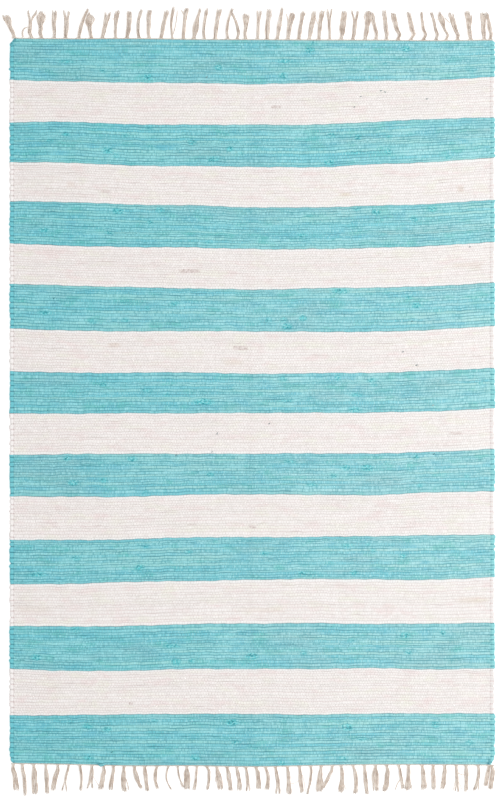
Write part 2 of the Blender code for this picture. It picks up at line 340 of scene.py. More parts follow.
# Painted shade of small folds at the corners: x and y, half the size each way in mm, and how dark.
cornerFolds = (
    (-596, 889, 3.4, 3.2, 0.9), (-588, 899, 3.2, 3.4, 0.75), (-590, -893, 3.6, 3.4, 0.6),
    (588.5, -889, 3.0, 6.5, 0.65), (586, -895.5, 4.2, 3.6, 1.1), (-381, -898, 5.0, 4.0, 0.9),
)
random = np.random.default_rng(41)


def across(line, x):
    # a smooth curve through a line's heights at the stations: over each span the cubic whose
    # slopes at its two stations are those of the parabola through the stations next to them
    slope = np.gradient(line, stations)
    i = np.clip(np.searchsorted(stations, x) - 1, 0, len(stations) - 2)
    span = stations[i + 1] - stations[i]
    s = (x - stations[i]) / span
    ends = line[i] * (1 + 2 * s) * (1 - s) ** 2 + line[i + 1] * (3 - 2 * s) * s ** 2
    return ends + span * s * (1 - s) * (slope[i] * (1 - s) - slope[i + 1] * s)


def waves(rows, lengths, size):
    # for each row a sum of sines of these wavelengths along x, with random phases, about size high
    total = np.zeros((rows, len(columns)))
    for length in lengths:
        phase = random.uniform(0, 2 * np.pi, (rows, 1))
        stretch = random.uniform(*weave["stretch"], (rows, 1))
        total += np.sin(2 * np.pi * columns[None, :] / (length * stretch) + phase)
    return size * total / np.sqrt(len(lengths))


def meshColumns():
    # even spacing over the middle, closer together over the last rim at each edge
    inner = drawn["halfWidth"] - weave["rim"]
    middle = np.linspace(-inner, inner, 2 * int(inner / weave["column"]) + 1)
    rim = inner + weave["rim"] * np.array([0.2, 0.4, 0.58, 0.72, 0.84, 0.93, 0.98, 1.0])
    return np.concatenate([-rim[::-1], middle, rim])


columns = meshColumns()


def grooveLines():
    # the y of every groove at every column: the picks share out a band's height, then each
    # groove wanders by a sum of sines
    lines = np.array([across(line, columns) for line in lineHeights])
    drift = waves(len(lines), weave["driftWaves"], weave["drift"])
    drift[[0, -1]] = 0
    lines = lines + drift
    grooves = np.empty((allPicks + 1, len(columns)))
    for i, band in enumerate(bands):
        sizes = random.uniform(1 - weave["uneven"], 1 + weave["uneven"], band[0])
        share = np.concatenate([[0], np.cumsum(sizes)]) / sizes.sum()
        height = lines[i + 1] - lines[i]
        grooves[linePicks[i]:linePicks[i + 1] + 1] = lines[i] + share[:, None] * height
    wander = waves(allPicks + 1, weave["wanderWaves"], weave["wander"])
    wander[linePicks] *= weave["wanderAtLine"]
    wander[[0, -1]] = 0
    grooves += wander
    for end, middle, half, reach in endBulges:
        bulge = end * reach * np.exp(-((columns - middle) / half) ** 2)
        grooves[0 if end > 0 else -1] += bulge
        grooves[1 if end > 0 else -2] += bulge / 2
    return grooves


def creaseLines():
    # painted shade of stretches of groove that are pressed deep: on its line each is a bell curve along x
    field = np.zeros((allPicks + 1, len(columns)))
    count = weave["creases"]
    line = random.integers(0, allPicks + 1, count)
    middle = random.uniform(-weave["creaseReach"], weave["creaseReach"], count)
    reach = random.uniform(*weave["creaseLengths"], count)
    depth = random.uniform(*weave["creaseDepths"], count)
    for i, x, r, d in zip(line, middle, reach, depth):
        field[i] = np.maximum(field[i], d * np.exp(-((columns - x) / r) ** 2))
    return field


def pickAt(x, y):
    # where a place given in mm lies in picks, at the nearest column
    column = int(np.argmin(np.abs(columns - x * mm)))
    return np.interp(-y * mm, -grooves[:, column], np.arange(allPicks + 1))


def bunchPlaces():
    # each bunch as its x, its place in picks, its length and its strength
    places = [(x * mm, pickAt(x, y), length * mm, tenths / 10) for x, y, length, tenths in bunches]
    for i in range(0, len(bands), 2):
        for x in random.uniform(-weave["smallReach"], weave["smallReach"], weave["smallBunches"]):
            pick = random.uniform(linePicks[i] + 1, linePicks[i + 1] - 1)
            length = random.uniform(*weave["smallLengths"])
            places.append((x, pick, length, random.uniform(*weave["smallStrengths"])))
    return places


def markPlaces():
    # each mark as its x, its place in picks, its length and height, and how grey and beige it is
    return [(x * mm, np.floor(pickAt(x, y)) + 0.5, length * mm, high, grey, beige)
            for x, y, length, high, grey, beige in marks]


def bunchBell(middle, x, length):
    return ((x - middle) / (length / 2 + weave["bunchEnds"])) ** 2


def bendGrooves():
    # a bunch pushes the grooves above and below it apart, most at one pick from its middle
    for middle, row, length, strength in bunchList:
        away = np.arange(allPicks + 1)[:, None] - row
        bell = np.exp(-bunchBell(middle, columns, length) - away ** 2 / 2)
        bell[[0, -1]] = 0
        grooves[:] -= strength * weave["bunchBend"] * away * bell


grooves = grooveLines()
creases = creaseLines()
crestLift = waves(allPicks, weave["liftWaves"], weave["lift"])
bunchList = bunchPlaces()
markList = markPlaces()
bendGrooves()
loopReach = random.normal(0, weave["ragged"], (2, allPicks + 2))


def bunching(pick, x):
    # how bunched the rag is: the strongest of the bell curves round the bunches
    field = np.zeros_like(x)
    for middle, row, length, strength in bunchList:
        if pick.min() - 2 < row < pick.max() + 2:
            bell = bunchBell(middle, x, length) + ((pick - row) / weave["bunchSpread"]) ** 2
            field = np.maximum(field, strength * np.exp(-bell))
    return field


def marking(pick, x):
    # how grey and how beige a white band is: the strongest of the flat-topped bell curves, of the
    # fourth power of the distance, round the marks
    grey, beige = np.zeros_like(x), np.zeros_like(x)
    for middle, row, length, high, greyShare, beigeShare in markList:
        if pick.min() - 2 < row < pick.max() + 2:
            bell = np.exp(-(2 * (x - middle) / length) ** 4 - (1.4 * (pick - row) / high) ** 4)
            grey = np.maximum(grey, greyShare * bell)
            beige = np.maximum(beige, beigeShare * bell)
    return grey, beige


def loopAt(pick, side):
    # a loop of rag over two picks, as a square-rooted sine; at the left edge it is a pick later
    return np.sqrt(np.abs(np.sin(np.pi * (pick - (side < 0)) / 2)))


def edgeShift(pick, y, side, turquoise):
    # how far the edge stands out of its mean line: its loops, by chance a little longer or
    # shorter, the reach that the band has, and the corners, drawn in as a parabola
    out = weave["loopIn"] * (loopAt(pick, side) - weave["loopMean"]) + weave["reach"][side, turquoise]
    out = out + np.interp(pick, np.arange(allPicks + 2), loopReach[0 if side < 0 else 1])
    column = 0 if side < 0 else -1
    farInset, farOver = corners["far", side]
    nearInset, nearOver = corners["near", side]
    out -= farInset * np.clip(1 - (grooves[0, column] - y) / farOver, 0, 1) ** 2
    out -= nearInset * np.clip(1 - (y - grooves[-1, column]) / nearOver, 0, 1) ** 2
    return out


def creaseAt(index, within, x, y):
    # the painted shade of a crease fades out in a straight way beside its groove, that of a corner's fold
    # is a round spot
    near = np.clip(1 - np.minimum(within, 1 - within) / weave["creaseWidth"], 0, 1)
    field = np.where(within < 0.5, creases[index], creases[index + 1]) * near
    for foldX, foldY, halfX, halfY, dark in cornerFolds:
        bell = ((x / mm - foldX) / halfX) ** 2 + ((y / mm - foldY) / halfY) ** 2
        field = np.maximum(field, dark * np.exp(-bell))
    return field


def picksOf(number):
    # the first pick of a band and of the next one, and whether the band is turquoise
    return int(linePicks[number]), int(linePicks[number + 1]), number % 2 == 0


def bandSurface(number, face):
    # The top or the back of a band: rows follow the picks, columns the width. A rib is a power of
    # a sine over its pick. Near the edge two ribs become one loop, and the height falls off as a
    # quarter circle. Beside its place, each point of the grid has its pick, how bunched it is (on
    # a white band how grey), its tint (how faded, or how beige) and how much painted crease shade
    # it takes.
    first, last, turquoise = picksOf(number)
    crest, groove, parts, every = weave[face].values()
    x, y = columns[::every], grooves[:, ::every]
    picks = last - first
    row = np.concatenate([np.add.outer(np.arange(picks), parts[:-1]).ravel(), [picks]]) + first
    index = np.minimum(row.astype(int), last - 1)
    within = (row - index)[:, None]
    pick = np.repeat(row[:, None], len(x), axis=1)
    place = y[index] * (1 - within) + y[index + 1] * within
    wide = np.repeat(x[None, :], len(row), axis=0)
    size = np.abs(wide)
    rib = np.repeat(np.sin(np.pi * within) ** weave["ribPower"], len(x), axis=1)
    pull = smooth(weave["pullFrom"], drawn["halfWidth"], size) ** 2
    toLoop = smooth(drawn["halfWidth"] - weave["loopFrom"], drawn["halfWidth"] - weave["loopTo"], size)
    for side in (-1, 1):
        out = edgeShift(row[:, None], place[:, [0 if side < 0 else -1]], side, turquoise)
        loop = loopAt(row[:, None], side)
        half = wide * side > 0
        wide = np.where(half, wide + side * out * pull, wide)
        rib = np.where(half, rib * (1 - toLoop) + loop * toLoop, rib)
    inside = np.clip((drawn["halfWidth"] - size) / weave["edgeRound"], 0, 1)
    roundOff = np.sqrt(1 - (1 - inside) ** 2)
    if turquoise:
        bunch, tint = bunching(pick, wide), np.full_like(wide, fading[number // 2])
    else:
        bunch, tint = marking(pick, wide)
    crumple = bunch * random.uniform(*weave["crumple"], bunch.shape) * rib * turquoise
    height = groove + (crest - groove) * rib
    if face == "top":
        height = height + crestLift[index] * rib + weave["bunchRise"] * crumple
    middle = weave["top"]["groove"] / 2
    height = middle + (height - middle) * roundOff
    creaseShade = creaseAt(index, within, wide, place) if face == "top" else np.zeros_like(wide)
    return {"x": wide, "y": place, "z": height, "pick": pick, "bunch": bunch, "tint": tint,
            "creaseShade": creaseShade}


def gridFaces(number, flip=False):
    # quads between neighbouring rows and columns of a grid of point numbers
    quads = np.stack([number[:-1, :-1], number[1:, :-1], number[1:, 1:], number[:-1, 1:]], -1)
    quads = quads.reshape(-1, 4)
    return (quads[:, ::-1] if flip else quads).tolist()


def makeObject(name, points, faces, material, uv, attributes):
    data = bpy.data.meshes.new(name)
    data.from_pydata(points, [], faces)
    data.shade_smooth()
    layer = data.uv_layers.new(name="weave")
    corner = np.empty(len(data.loops), np.int32)
    data.loops.foreach_get("vertex_index", corner)
    layer.data.foreach_set("uv", uv[corner].astype(np.float32).ravel())
    for title, values in attributes.items():
        made = data.attributes.new(title, "FLOAT", "POINT")
        made.data.foreach_set("value", np.asarray(values, np.float32).ravel())
    data.materials.append(material)
    piece = newObject(name, data)
    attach(piece, "root")
    return piece


def makeBand(number, material):
    # one band as a closed cloth: its top, its back with half as many columns, a wall along each
    # long side, and at each selvedge one face for each pick
    first, last, turquoise = picksOf(number)
    top, back = (bandSurface(number, face) for face in ("top", "back"))
    cloth = {name: np.concatenate([top[name].ravel(), back[name].ravel()]) for name in top}
    topNumber = np.arange(top["x"].size).reshape(top["x"].shape)
    backNumber = topNumber.size + np.arange(back["x"].size).reshape(back["x"].shape)
    faces = gridFaces(topNumber) + gridFaces(backNumber, flip=True)
    for end, flip in ((0, False), (-1, True)):
        upper, lower = topNumber[end], backNumber[end]
        wall = np.stack([upper[:-1:2], upper[1::2], upper[2::2], lower[1:], lower[:-1]], -1)
        faces += (wall[:, ::-1] if flip else wall).tolist()
    upper, lower = (np.arange(last - first)[:, None] * (len(parts) - 1) + np.arange(len(parts))
                    for parts in (weave["top"]["parts"], weave["back"]["parts"]))
    left, right = (np.concatenate([topNumber[upper, side], backNumber[lower[:, ::-1], side]], 1)
                   for side in (0, -1))
    faces += left[:, ::-1].tolist() + right.tolist()
    points = np.stack([cloth[axis] for axis in "xyz"], -1) + shift
    attributes = {name: cloth[name] for name in ("bunch", "tint", "creaseShade")}
    attributes["fromEdge"] = np.minimum(cloth["pick"] - first, last - cloth["pick"])
    colour = "turquoise" if turquoise else "white"
    piece = makeObject(f"band_{number + 1:02d}_{colour}", points, faces, material,
                       np.stack([cloth["x"], cloth["pick"]], -1), attributes)
    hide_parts("woven_rag_cloth")
    return piece


# The two kinds of rag: their colours as a screen shows them, and how much of each is laid on. The groove
# and crease colours, the fleck colour and the colour of the spots at the edge are painted shade, the
# white's edge colour a painted highlight.
turquoiseLook = {
    "name": "turquoise rag",
    "colours": {
        "base": (163, 227, 231), "pale": (200, 247, 249), "deep": (103, 192, 203),
        "bright": (186, 244, 248), "dark": (124, 190, 196),
        "hue": (114, 207, 199), "otherHue": (129, 206, 223),
        "lasting": (181, 233, 228), "otherLasting": (135, 217, 229),
        "greyed": (168, 208, 211), "edge": (124, 191, 196),
        "groove": (66, 146, 159), "otherGrooveShade": (92, 149, 161), "creaseShade": (44, 116, 132),
        "knot": (100, 216, 220), "fleck": (42, 138, 150), "warp": (196, 234, 232),
        "selvedge": (136, 216, 224), "otherSelvedge": (146, 217, 219), "loopGapShade": (50, 118, 130),
    },
    "shares": {
        "streak": 0.52, "hue": 0.74, "lasting": 0.80, "greyed": 0.52, "dash": 0.08, "fine": 0.73,
        "patch": 0.34, "edge": 0.2, "fleckHighlightShare": 0.7, "groove": 0.80, "fadedGrooveShade": 0.71,
        "faintGrooveShade": 0.35, "speck": 0.6, "warp": 0.39, "rim": 0.12, "loopGapShade": 0.48,
    },
    # the spots of painted shade in the gaps between the edge loops
    "dotsOut": 0.0022,  # on the right the dots stand this far outside the last thread
    "tint": (1.11, 1.0, 1.0, 1.0),  # what the most faded or most beige places are multiplied by
    "left": (0.75, 0.95, 0.975, 1.0),  # what the left edge is multiplied by
}
whiteLook = {
    "name": "white rag",
    "colours": {
        "base": (247, 244, 242), "pale": (254, 253, 252), "deep": (235, 230, 227),
        "bright": (255, 253, 251), "dark": (234, 230, 227),
        "hue": (244, 229, 228), "otherHue": (243, 244, 231),
        "lasting": (246, 241, 241), "otherLasting": (248, 246, 242),
        "greyed": (240, 237, 235), "edge": (247, 254, 255),
        "groove": (224, 209, 207), "otherGrooveShade": (216, 211, 206), "creaseShade": (202, 190, 187),
        "knot": (222, 210, 206), "fleck": (196, 184, 180), "warp": (224, 213, 205),
        "selvedge": (252, 250, 249), "otherSelvedge": (231, 227, 225), "loopGapShade": (198, 178, 177),
    },
    "shares": {
        "streak": 0.4, "hue": 0.9, "lasting": 0.5, "greyed": 0.5, "dash": 0.4, "fine": 0.60,
        "patch": 0.35, "edge": 0.38, "fleckHighlightShare": 0.4, "groove": 0.6, "fadedGrooveShade": 0.6,
        "faintGrooveShade": 0.55, "speck": 0.3, "warp": 0.38, "rim": 0.5, "loopGapShade": 0.75,
    },
    "dotsOut": 0.0,
    "tint": (0.89, 0.82, 0.745, 1.0),
    "left": (1.025, 1.015, 1.015, 1.0),
}
threads = {
    "inMetre": 289.5,  # warp threads in a metre, at the place where they are fewest
    "middle": -0.1,  # that place
    "closer": 33.0,  # how fast they come closer together from there to both edges
    "stray": 0.9,  # how far a thread strays, in spacings
    "half": 0.16, "soft": 0.26,  # half a thread's width, in spacings, and where it has faded out
    "outermost": 0.5905, "fadeOut": 0.0008,  # past the last warp thread the rag shows alone
    # the fold line is drawn only as painted shade
    "foldAt": -0.003, "foldHalf": 0.014, "foldShare": 0.10,  # the faint line where the rug lay folded
}
# Noise over the cloth: its cells in a metre across, its cells in a pick, its layer, its detail.
noises = {
    "bend": (95, 0.8, 3, 2), "streak": (6.5, 1.63, 2, 2), "lasting": (2.2, 1.37, 33, 2),
    "dash": (95, 1.9, 8, 3), "fine": (260, 2.3, 12, 1),
    "hue": (17, 0.26, 11, 2), "otherHue": (17, 0.26, 17, 2), "greyed": (5, 0.10, 4, 2),
    "patch": (27, 0.55, 9, 2), "fleck": (150, 2.0, 6, 2), "speck": (190, 1.5, 21, 1),
    "depth": (13, 1.91, 5, 2), "kind": (6, 2.7, 15, 2), "stray": (60, 0.4, 1, 1),
    "worn": (40, 0.5, 31, 2), "grain": (700, 5, 0, 3), "wrinkle": (170, 4.5, 7, 3),
}
# The shades of a strip, in the order in which they are laid on: the noise, its values where the
# colour starts and where it is full, the colour, and the name of its share.
shades = (
    ("streak", 0.46, 0.70, "pale", "streak"), ("streak", 0.52, 0.30, "deep", "streak"),
    ("hue", 0.50, 0.68, "hue", "hue"), ("otherHue", 0.50, 0.68, "otherHue", "hue"),
    ("lasting", 0.50, 0.66, "lasting", "lasting"), ("lasting", 0.50, 0.34, "otherLasting", "lasting"),
    ("greyed", 0.50, 0.70, "greyed", "greyed"),
    # the bright and dark dashes are partly the rag's own tone and partly painted highlights and shade of
    # its small crinkles
    ("dash", 0.50, 0.72, "bright", "dash"), ("dash", 0.50, 0.28, "dark", "dash"),
    ("fine", 0.52, 0.70, "bright", "fine"), ("fine", 0.48, 0.30, "dark", "fine"),
    ("patch", 0.56, 0.70, "deep", "patch"),
)
# Smooth steps in the pattern: the value where each starts and where it is full, and for some what
# it is at these two.
ramps = {
    "fromEdge": (1.3, 0.7), "bunch": (0.15, 0.7), "fleckHighlight": (0.48, 0.38),
    "fleckShade": (0.53, 0.60, 0.0, 0.85), "depth": (0.34, 0.66), "kind": (0.42, 0.58),
    "groove": (0.27, 0.03), "speck": (0.68, 0.78), "thread": (0.03, 0.18), "worn": (0.35, 0.6, 0.35),
    "notchShade": (0.16, 0.03, 0.0, 0.8), "rim": (0.5975, 0.6010), "loopGapShade": (0.0014, 0.0005),
    "dotTurn": (0.28, 0.05, 0.3), "grain": (0.7, 0.3, 0.2), "left": (0.62, -0.62),
}
# Shares that both kinds have, and the picks from end to end over which noise bends a full bunch.
always = {"knot": 0.75, "turn": 0.7, "creaseShade": 0.85, "bend": 2.2}
# How much each part adds to the height that the bump is made from.
relief = {"thread": 0.55, "wrinkle": 0.9, "grain": 0.25, "bunch": -1.2}
ragBump = {"Distance": 0.0007, "Strength": 0.85}


def ragFinish(look):
    # Rag strips over a cotton warp, on the map "weave": u is the way across in metres, and v
    # counts the picks, with a groove at each whole number. A bunch bends the pattern.
    wire = Wiring(look["name"])
    shade, share = shadesOf(look), look["shares"]
    u, straight = wire.uv()
    bunch, tint = wire.attribute("bunch"), wire.attribute("tint")

    def noise(name, along):
        return wire.stretched(u, along, *noises[name])

    v = (noise("bend", straight) - 0.5) * bunch * always["bend"] + straight
    row = wire.math("FLOOR", v)
    part = v % 1
    toGroove = wire.math("MINIMUM", part, 1.0 - part)

    # a strip keeps its streaks, its dashes and its lasting shade, and shares its hues with others
    fields = {name: noise(name, row) for name in ("streak", "lasting", "dash", "fine")}
    fields.update({name: noise(name, v) for name in ("hue", "otherHue", "greyed", "patch")})
    colour = shade["base"]
    for name, start, full, over, most in shades:
        colour = wire.lay(colour, shade[over], fields[name], start, full, share[most])
    # the picks next to a band's edge: on a white band a painted highlight, on a turquoise band a little
    # darker
    colour = wire.lay(colour, shade["edge"], wire.attribute("fromEdge"), *ramps["fromEdge"], share["edge"])
    colour = wire.mix(tint, colour, wire.mix(1.0, colour, look["tint"], "MULTIPLY"))

    # a bunch is deeper in colour; its light flecks are painted highlights and its dark flecks painted
    # shade of the crumpled rag
    fleck = noise("fleck", v)
    inBunch = wire.ramp(bunch, *ramps["bunch"])
    # light flecks: painted highlights; dark flecks: painted shade
    light = wire.ramp(fleck, *ramps["fleckHighlight"], most=share["fleckHighlightShare"])
    dark = wire.ramp(fleck, *ramps["fleckShade"])
    for most, over in ((always["knot"], "knot"), (light, "pale"), (dark, "fleck")):
        colour = wire.mix(inBunch * most, colour, shade[over])

    # painted shade in the grooves between the ribs, darker in some stretches than in others
    line = wire.math("FLOOR", v + 0.5)
    depth = wire.ramp(noise("depth", line), *ramps["depth"], share["faintGrooveShade"])
    faded = wire.ramp(tint, 0.0, 1.0, share["groove"], share["fadedGrooveShade"])
    kind = wire.ramp(noise("kind", line), *ramps["kind"])
    grooveShadeColour = wire.mix(kind, shade["groove"], shade["otherGrooveShade"])
    colour = wire.mix(wire.ramp(toGroove, *ramps["groove"]) * depth * faded, colour, grooveShadeColour)
    # dark specks of the rag's own, in the colour of the painted crease shade
    colour = wire.lay(colour, shade["creaseShade"], noise("speck", v), *ramps["speck"], share["speck"])

    # Warp threads, counted from left to right by a cubic in u. Each lies over every second pick,
    # and its neighbours over the picks between.
    away = u - threads["middle"]
    count = away * away * away * threads["closer"] + u * threads["inMetre"]
    count = noise("stray", v) * threads["stray"] + count
    parity = (wire.math("FLOOR", count) + row) % 2
    side = abs(u)
    inner = wire.ramp(side, threads["outermost"] + threads["fadeOut"], threads["outermost"])
    thread = wire.ramp(abs(count % 1 - 0.5), threads["soft"], threads["half"]) * parity
    thread = thread * wire.ramp(toGroove, *ramps["thread"]) * inner
    worn = wire.ramp(noise("worn", v), *ramps["worn"])
    colour = wire.mix(thread * worn * share["warp"], colour, shade["warp"])

    # outside the outermost warp thread the rag turns back in loops over two picks
    outside = 1.0 - inner
    left, right = wire.math("LESS_THAN", u, 0.0), wire.math("GREATER_THAN", u, 0.0)
    turnColour = wire.mix(left, shade["otherSelvedge"], shade["selvedge"])
    colour = wire.mix(outside * always["turn"], colour, turnColour)
    turn = (v + left) * 0.5 % 1
    toTurn = wire.math("MINIMUM", turn, 1.0 - turn)
    # painted shade in the notch between two loops, and along the rim at the very edge
    notchShade = wire.ramp(toTurn, *ramps["notchShade"])
    rim = wire.ramp(side, *ramps["rim"], most=share["rim"])
    colour = wire.mix(outside * wire.math("MAXIMUM", notchShade, rim), colour, grooveShadeColour)
    # spots of painted shade in the gaps between the loops, on the line of the outermost thread, further
    # out on the right of a turquoise band
    offLine = abs(side - (right * look["dotsOut"] + threads["outermost"]))
    gapShade = wire.ramp(offLine, *ramps["loopGapShade"]) * wire.ramp(toTurn, *ramps["dotTurn"])
    colour = wire.mix(gapShade * share["loopGapShade"], colour, shade["loopGapShade"])
    # painted shade in the pressed creases and in the small folds at the corners
    colour = wire.mix(wire.attribute("creaseShade") * always["creaseShade"], colour, shade["creaseShade"])

    # painted shade along the faint line in the middle where the rug lay folded, and the mottling of worn
    # cotton
    fold = abs(u - threads["foldAt"])
    colour = wire.lay(colour, shade["groove"], fold, threads["foldHalf"], 0.0, threads["foldShare"])
    grain = noise("grain", v)
    colour = wire.lay(colour, shade["groove"], grain, *ramps["grain"])
    # towards the left edge the turquoise grows less red and a little darker, and the white is painted a
    # little lighter, as painted light across the width
    colour = wire.mix(wire.ramp(u, *ramps["left"]), colour, look["left"], "MULTIPLY")

    height = thread * relief["thread"] + noise("wrinkle", v) * relief["wrinkle"]
    height = height + grain * relief["grain"] + bunch * fleck * relief["bunch"]
    return wire.finish(colour, height, ragBump)


ragFinishes = (ragFinish(turquoiseLook), ragFinish(whiteLook))
bandPieces = [makeBand(number, ragFinishes[number % 2]) for number in range(len(bands))]
say(f"{len(bandPieces)} woven bands")

# Each tassel in mm: where it leaves the cloth's end, how far sideways it has gone at half its
# length and at its tip, its length, its width half-way and at the tip, and for some how far the
# two tips of a fork are apart (-1 for a splayed tip) and how far it swings out past the knot.
tasselParts = ("root", "bow", "tip", "length", "width", "tipWidth", "fork", "swing")
farTassels = (
    (-589, -11, -23, 54, 10, 17, -1, 0), (-547, -3, 2, 66, 9, 8, 20, -3),
    (-522, -2, -1, 65, 9, 20, 0, -2), (-490, -1, 0, 66, 9, 9, 6, 1), (-462, 2, 2, 66, 11, 10, 12, 0),
    (-430, 8, 23, 69, 9, 4), (-398, -5, -4, 62, 9, 20), (-371, 7, 14, 62, 10, 10, 12, 0),
    (-338, 0, 5, 67, 7, 10), (-310, 5, 6, 64, 10, 13), (-280, -2, 6, 68, 8, 7, 0, -1),
    (-255, -1, 1, 67, 9, 11, 0, -1), (-226, 7, 15, 67, 10, 9), (-197, -3, 3, 75, 6, 6),
    (-170, 2, 9, 73, 8, 10), (-144, 7, 15, 73, 13, 5), (-118, 0, 7, 73, 7, 8, 0, -1),
    (-91, 4, 11, 73, 11, 10), (-60, 0, 12, 73, 7, 4, 0, -1), (-37, 0, -13, 62, 7, 5, 0, 2),
    (-16, 1, 1, 60, 9, 13, 0, -2), (14, 2, 3, 68, 8, 8, 8, 0), (38, 1, 6, 71, 11, 11),
    (63, 6, 12, 76, 10, 6), (89, 5, 12, 64, 11, 12), (116, 5, 10, 68, 9, 9),
    (142, 6, 12, 68, 11, 10, 0, 1), (166, 3, 9, 70, 9, 9, 6, 0), (193, -1, -1, 72, 7, 8, 11, 0),
    (221, 4, 8, 68, 13, 12, 0, 2), (250, 5, 5, 70, 10, 9, 15, 1), (281, 5, 8, 69, 10, 16),
    (308, -3, -11, 65, 9, 9, 0, 2), (334, -3, -6, 70, 9, 9, 0, 2), (363, -5, -13, 64, 9, 11, 0, 5),
    (395, 0, -8, 66, 11, 8, 0, 5), (426, -2, -6, 67, 8, 5, 0, 6), (457, -3, -11, 67, 8, 6, 0, 3),
    (482, -5, -17, 67, 6, 13, 0, 5), (511, -9, -19, 65, 11, 11, 7, 3), (543, -5, -9, 69, 10, 11, 6, 0),
    (576, -2, -3, 65, 10, 13), (592, -3, -9, 64, 9, 6, 0, 2),
)
nearTassels = (
    (-592, 4, 8, 64, 11, 12, 0, -2), (-569, 5, 7, 76, 9, 8, 0, -2), (-541, 2, 3, 72, 12, 14),
    (-511, 2, 3, 71, 10, 9, 0, -1), (-481, -6, -13, 64, 12, 11, 0, 2), (-454, -8, -11, 65, 6, 6, 11, 1),
    (-427, 4, 2, 62, 7, 5), (-397, -2, -5, 56, 10, 8, 12, 0), (-368, -2, -8, 58, 10, 11, 0, 2),
    (-343, -4, -8, 58, 9, 10, 0, 1), (-317, -2, 1, 61, 11, 10), (-291, 5, 16, 54, 11, 7, 0, -1),
    (-266, 3, 6, 59, 10, 9, 4, 0), (-235, -5, 0, 54, 9, 6), (-207, -5, 6, 57, 5, 2),
    (-184, 4, 13, 51, 5, 4), (-161, 0, 0, 57, 15, 13), (-136, -3, -7, 58, 6, 7),
    (-112, 6, 0, 57, 7, 6, 0, 2), (-87, 5, 9, 56, 12, 12), (-62, 6, 9, 58, 12, 8),
    (-38, 6, 7, 57, 10, 10), (-15, 4, 6, 58, 8, 8, 7, 1), (10, 6, 6, 53, 11, 10, 0, 1),
    (34, 6, 3, 55, 8, 8, 6, 0), (58, 6, 6, 66, 9, 8, 8, 0), (88, 3, 4, 67, 10, 11),
    (118, 3, 6, 65, 9, 9), (146, -1, -9, 68, 7, 5, 0, 1), (172, -3, -4, 64, 11, 17),
    (200, -10, -23, 55, 8, 7, 0, 2), (221, 3, -1, 65, 10, 12), (251, 7, 5, 71, 9, 9, 0, 1),
    (279, 3, 6, 72, 9, 8), (307, -1, 0, 64, 14, 13), (334, 1, -4, 64, 10, 12, 0, 2),
    (364, 6, 10, 58, 7, 6, 0, 1), (389, -1, -2, 61, 10, 14), (422, 4, 4, 60, 10, 12),
    (450, 0, 1, 60, 10, 9), (478, -1, -6, 58, 10, 11), (507, 2, 1, 65, 8, 6, 7, 0),
    (531, 1, 0, 64, 9, 8), (561, 0, -9, 61, 8, 7, 0, 1), (588, -4, -8, 50, 9, 9),
    (595, 1, -3, 58, 11, 10, 0, 1),
)
# Thin yarns that have come away: from x, out; by way of x, out; to x, out; how many yarns.
farStrays = (
    (-568, 1, -573, 23, -556, 26, 4), (-338, 43, -345, 48, -348, 47, 1),
    (-198, 4, -187, 30, -185, 70, 2), (-168, 54, -171, 62, -175, 71, 2),
    (88, 28, 91, 45, 85, 63, 2), (164, 36, 160, 45, 157, 55, 1),
    (126, 52, 130, 58, 133, 64, 2), (470, 47, 462, 51, 456, 50, 2),
    (491, 42, 484, 47, 478, 55, 2), (540, 28, 547, 45, 544, 60, 3),
)
nearStrays = (
    (-394, 26, -386, 38, -378, 54, 1), (-313, 30, -307, 42, -306, 59, 2),
    (125, 20, 132, 40, 133, 64, 1), (92, 41, 104, 45, 117, 33, 1),
    (369, 34, 359, 46, 356, 61, 2), (508, 14, 520, 27, 532, 22, 2),
    (507, 30, 516, 46, 522, 61, 1), (505, 38, 502, 50, 499, 64, 1),
    (562, 32, 563, 46, 562, 60, 2), (226, 40, 231, 50, 234, 61, 1), (-85, 18, -92, 26, -90, 39, 1),
)
fringe = {
    "parting": 0.0003,  # between the cloth and the strip
    "strip": 0.0034,  # width of the strip
    "inside": 0.0010,  # how far inside the strip the yarns begin
    "yarn": 0.00078,  # a yarn's radius
    "yarnsEach": 1.3,  # yarns in a tassel for each mm of its width
    "fewest": 6, "most": 20,
    "root": {1: 0.0038, -1: 0.0030},  # half a tassel's width at the strip, far and near
    "fan": 0.0034,  # its yarns come from this much further to each side
    "gather": 0.07,  # share of the length over which they come together
    "layer": 0.0011,  # from one layer of yarns to the next, past the root
    # where along a tassel, from 0 at the strip to 1 at the tip, each of these changes takes place
    "swingAt": 0.2, "swingOver": 0.13, "toHalfWidth": (0.0, 0.36), "toTipWidth": (0.45, 0.85),
    "closing": (0.88, 1.0), "forking": (0.56, 1.05), "lifting": (0.35, 0.8), "loosening": (0.6, 1.0),
    "wavy": 0.16, "wavesEach": (0.6, 1.5),  # how far a yarn strays, in half widths, and how often
    "uneven": 0.06,  # by how much of a half width the yarns are placed unevenly
    "tipStray": 0.0009,  # how far the tips of the yarns stray by chance
    "full": 1.15, "fullerTip": 0.05,  # the bundle's width against the table's, and how much more later
    "closes": 0.12, "bulbCloses": 0.4, "bulbRound": 0.13,  # how a tip narrows, and how a bulb does
    "bulb": (1.4, 1.9),  # a tip so much wider than its tassel begins to be, and is, a bulb
    "overlap": 0.8,  # tips nearer than this share of their mean width lie on each other
    "thinnest": 0.0004, "dip": 0.0006,  # least half width; how much higher the yarns leave the cloth
    "lengths": (0.95, 1.06),  # of the yarns, as shares of the tassel's length
    "steps": 19, "sides": 5,
    "hairs": 12, "hair": 0.00032, "hairSteps": 7, "hairSides": 4, "hairSpread": 0.0026,
    "hairFrom": (0.74, 0.88), "hairTo": (1.0, 1.14),  # as shares of the tassel's length
    "hairLow": 0.0012, "hairHigh": 0.0012,  # the lowest hair's height, and how much higher they come
    "strand": 0.00092, "strandSides": 6, "twinePitch": 0.0072, "twineStep": 0.0012,
    "twineAcross": 0.0008, "twineUp": 0.0009, "twineMiddle": 0.0027,
    "strayApart": 0.0010, "strayUp": 0.0022, "strayLayer": 0.0005,  # the single yarns that came away
}


